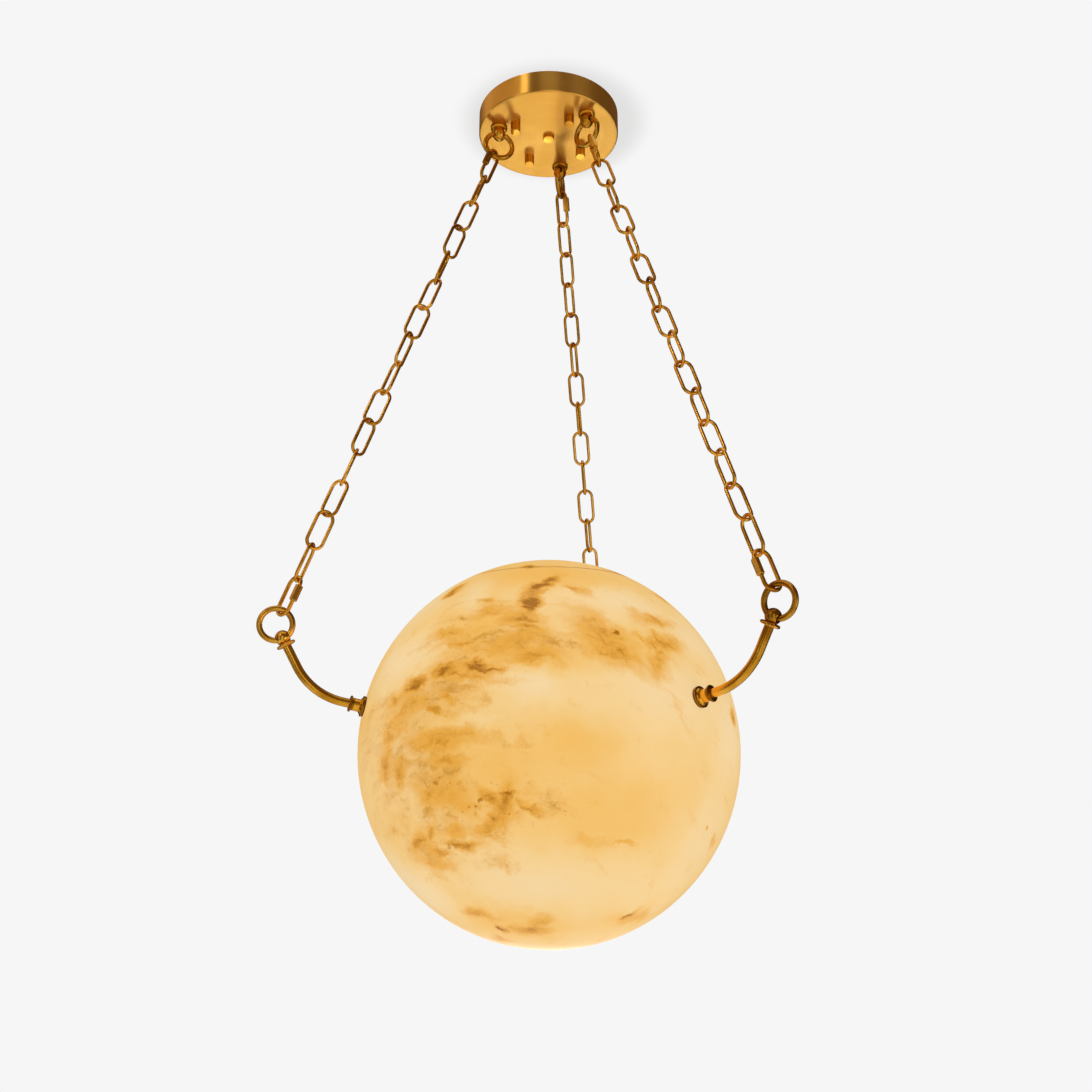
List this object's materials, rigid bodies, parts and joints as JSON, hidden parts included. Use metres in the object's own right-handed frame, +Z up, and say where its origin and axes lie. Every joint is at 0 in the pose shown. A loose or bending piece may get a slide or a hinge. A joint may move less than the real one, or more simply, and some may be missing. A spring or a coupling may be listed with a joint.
{
  "type": "globe pendant light",
  "caption": "Pendant light: a veined stone globe, lit from inside, hung by chains and bent brass arms from a round ceiling canopy, with a lift-off lid.",
  "frame": {"origin": "centre of the ceiling face, where the lamp is fixed", "axes": "+Z up out of the ceiling face; the rear arm points along +Y, the other arms lie 120 degrees to each side"},
  "size_m": [0.4678, 0.4447, 0.8505],
  "materials": {
    "antique_brass": "brushed, antiqued",
    "zinc_steel": "zinc plated",
    "alabaster": "polished, veined",
    "seal_rubber": "matt",
    "terminal_plastic": "matt",
    "holder_plastic": "matt",
    "cap_metal": "plain",
    "bulb_glass": "frosted"
  },
  "bodies": {
    "canopy": {"ceiling_plate": "zinc_steel", "plate_studs": "zinc_steel", "terminal_block": "terminal_plastic", "canopy": "antique_brass", "cap_nuts": "antique_brass", "centre_plug": "antique_brass", "centre_plug_nut": "zinc_steel"},
    "globe": {"globe_shell": "alabaster", "outer_seals": "seal_rubber", "inner_seals": "seal_rubber", "arm_nuts": "zinc_steel", "spider": "zinc_steel", "lampholder": "holder_plastic", "holder_nipple": "zinc_steel", "holder_nut": "zinc_steel", "arm_tube_rear": "antique_brass", "arm_knob_rear": "antique_brass", "arm_socket_rear": "antique_brass", "arm_tube_left": "antique_brass", "arm_knob_left": "antique_brass", "arm_socket_left": "antique_brass", "arm_tube_right": "antique_brass", "arm_knob_right": "antique_brass", "arm_socket_right": "antique_brass"},
    "hanger_rear": {"loop_post_rear": "antique_brass", "post_nut_rear": "zinc_steel", "top_link_rear": "antique_brass", "chain_rear": "antique_brass", "bottom_link_rear": "antique_brass"},
    "hanger_left": {"loop_post_left": "antique_brass", "post_nut_left": "zinc_steel", "top_link_left": "antique_brass", "chain_left": "antique_brass", "bottom_link_left": "antique_brass"},
    "hanger_right": {"loop_post_right": "antique_brass", "post_nut_right": "zinc_steel", "top_link_right": "antique_brass", "chain_right": "antique_brass", "bottom_link_right": "antique_brass"},
    "top_ring_rear": {"top_ring_rear": "antique_brass"},
    "arm_ring_rear": {"arm_ring_rear": "antique_brass"},
    "top_sleeve_rear": {"top_sleeve_rear": "antique_brass"},
    "bottom_sleeve_rear": {"bottom_sleeve_rear": "antique_brass"},
    "top_ring_left": {"top_ring_left": "antique_brass"},
    "arm_ring_left": {"arm_ring_left": "antique_brass"},
    "top_sleeve_left": {"top_sleeve_left": "antique_brass"},
    "bottom_sleeve_left": {"bottom_sleeve_left": "antique_brass"},
    "top_ring_right": {"top_ring_right": "antique_brass"},
    "arm_ring_right": {"arm_ring_right": "antique_brass"},
    "top_sleeve_right": {"top_sleeve_right": "antique_brass"},
    "bottom_sleeve_right": {"bottom_sleeve_right": "antique_brass"},
    "globe_lid": {"globe_lid": "alabaster"},
    "bulb": {"bulb_cap": "cap_metal", "bulb_glass": "bulb_glass"}
  },
  "joints": [
    {"name": "globe_twist", "type": "hinge", "parent": "canopy", "child": "globe", "pos_m": [0, 0, -0.67551], "axis": [0, 0, 1], "range_deg": [-4, 4], "stiffness_Nm_per_rad": 2.8},
    {"name": "hanger_swivel_rear", "type": "hinge", "parent": "canopy", "child": "hanger_rear", "pos_m": [0, 0.055, -0.0237], "axis": [0, 0, 1], "range_deg": [-5.4, 5.4]},
    {"name": "hanger_swivel_left", "type": "hinge", "parent": "canopy", "child": "hanger_left", "pos_m": [-0.04763, -0.0275, -0.0237], "axis": [0, 0, 1], "range_deg": [-5.4, 5.4]},
    {"name": "hanger_swivel_right", "type": "hinge", "parent": "canopy", "child": "hanger_right", "pos_m": [0.04763, -0.0275, -0.0237], "axis": [0, 0, 1], "range_deg": [-5.4, 5.4]},
    {"name": "top_ring_spin_rear", "type": "hinge", "parent": "hanger_rear", "child": "top_ring_rear", "pos_m": [0, 0.055, -0.04552], "axis": [1, 0, 0], "continuous": true},
    {"name": "arm_ring_spin_rear", "type": "hinge", "parent": "globe", "child": "arm_ring_rear", "pos_m": [0, 0.25268, -0.57193], "axis": [1, 0, 0], "continuous": true},
    {"name": "top_ring_spin_left", "type": "hinge", "parent": "hanger_left", "child": "top_ring_left", "pos_m": [-0.04763, -0.0275, -0.04552], "axis": [-0.5, 0.866, 0], "continuous": true},
    {"name": "arm_ring_spin_left", "type": "hinge", "parent": "globe", "child": "arm_ring_left", "pos_m": [-0.21883, -0.12634, -0.57193], "axis": [-0.5, 0.866, 0], "continuous": true},
    {"name": "top_ring_spin_right", "type": "hinge", "parent": "hanger_right", "child": "top_ring_right", "pos_m": [0.04763, -0.0275, -0.04552], "axis": [-0.5, -0.866, 0], "continuous": true},
    {"name": "arm_ring_spin_right", "type": "hinge", "parent": "globe", "child": "arm_ring_right", "pos_m": [0.21883, -0.12634, -0.57193], "axis": [-0.5, -0.866, 0], "continuous": true},
    {"name": "top_sleeve_turn_rear", "type": "hinge", "parent": "hanger_rear", "child": "top_sleeve_rear", "pos_m": [0.00605, 0.059, -0.07061], "axis": [0, -0.3516, 0.9362], "continuous": true},
    {"name": "bottom_sleeve_turn_rear", "type": "hinge", "parent": "hanger_rear", "child": "bottom_sleeve_rear", "pos_m": [0.00605, 0.23671, -0.54385], "axis": [0, -0.3516, 0.9362], "continuous": true},
    {"name": "top_sleeve_turn_left", "type": "hinge", "parent": "hanger_left", "child": "top_sleeve_left", "pos_m": [-0.0563, -0.0395, -0.06704], "axis": [0.3045, 0.1758, 0.9362], "continuous": true},
    {"name": "bottom_sleeve_turn_left", "type": "hinge", "parent": "hanger_left", "child": "bottom_sleeve_left", "pos_m": [-0.2022, -0.12422, -0.54366], "axis": [0.3045, 0.1758, 0.9362], "continuous": true},
    {"name": "top_sleeve_turn_right", "type": "hinge", "parent": "hanger_right", "child": "top_sleeve_right", "pos_m": [0.0563, -0.0395, -0.06704], "axis": [-0.3045, 0.1758, 0.9362], "continuous": true},
    {"name": "bottom_sleeve_turn_right", "type": "hinge", "parent": "hanger_right", "child": "bottom_sleeve_right", "pos_m": [0.20321, -0.1259, -0.54301], "axis": [-0.3045, 0.1758, 0.9362], "continuous": true},
    {"name": "lid_lift", "type": "slide", "parent": "globe", "child": "globe_lid", "axis": [0, 0, 1], "range_m": [0, 0.12]},
    {"name": "bulb_turn", "type": "hinge", "parent": "globe", "child": "bulb", "pos_m": [0, 0, -0.69901], "axis": [0, 0, 1], "continuous": true}
  ],
  "couplings": [
    {"joint": "hanger_swivel_rear", "follows": "globe_twist", "ratio": 1.2782},
    {"joint": "hanger_swivel_left", "follows": "globe_twist", "ratio": 1.2782},
    {"joint": "hanger_swivel_right", "follows": "globe_twist", "ratio": 1.2782}
  ]
}
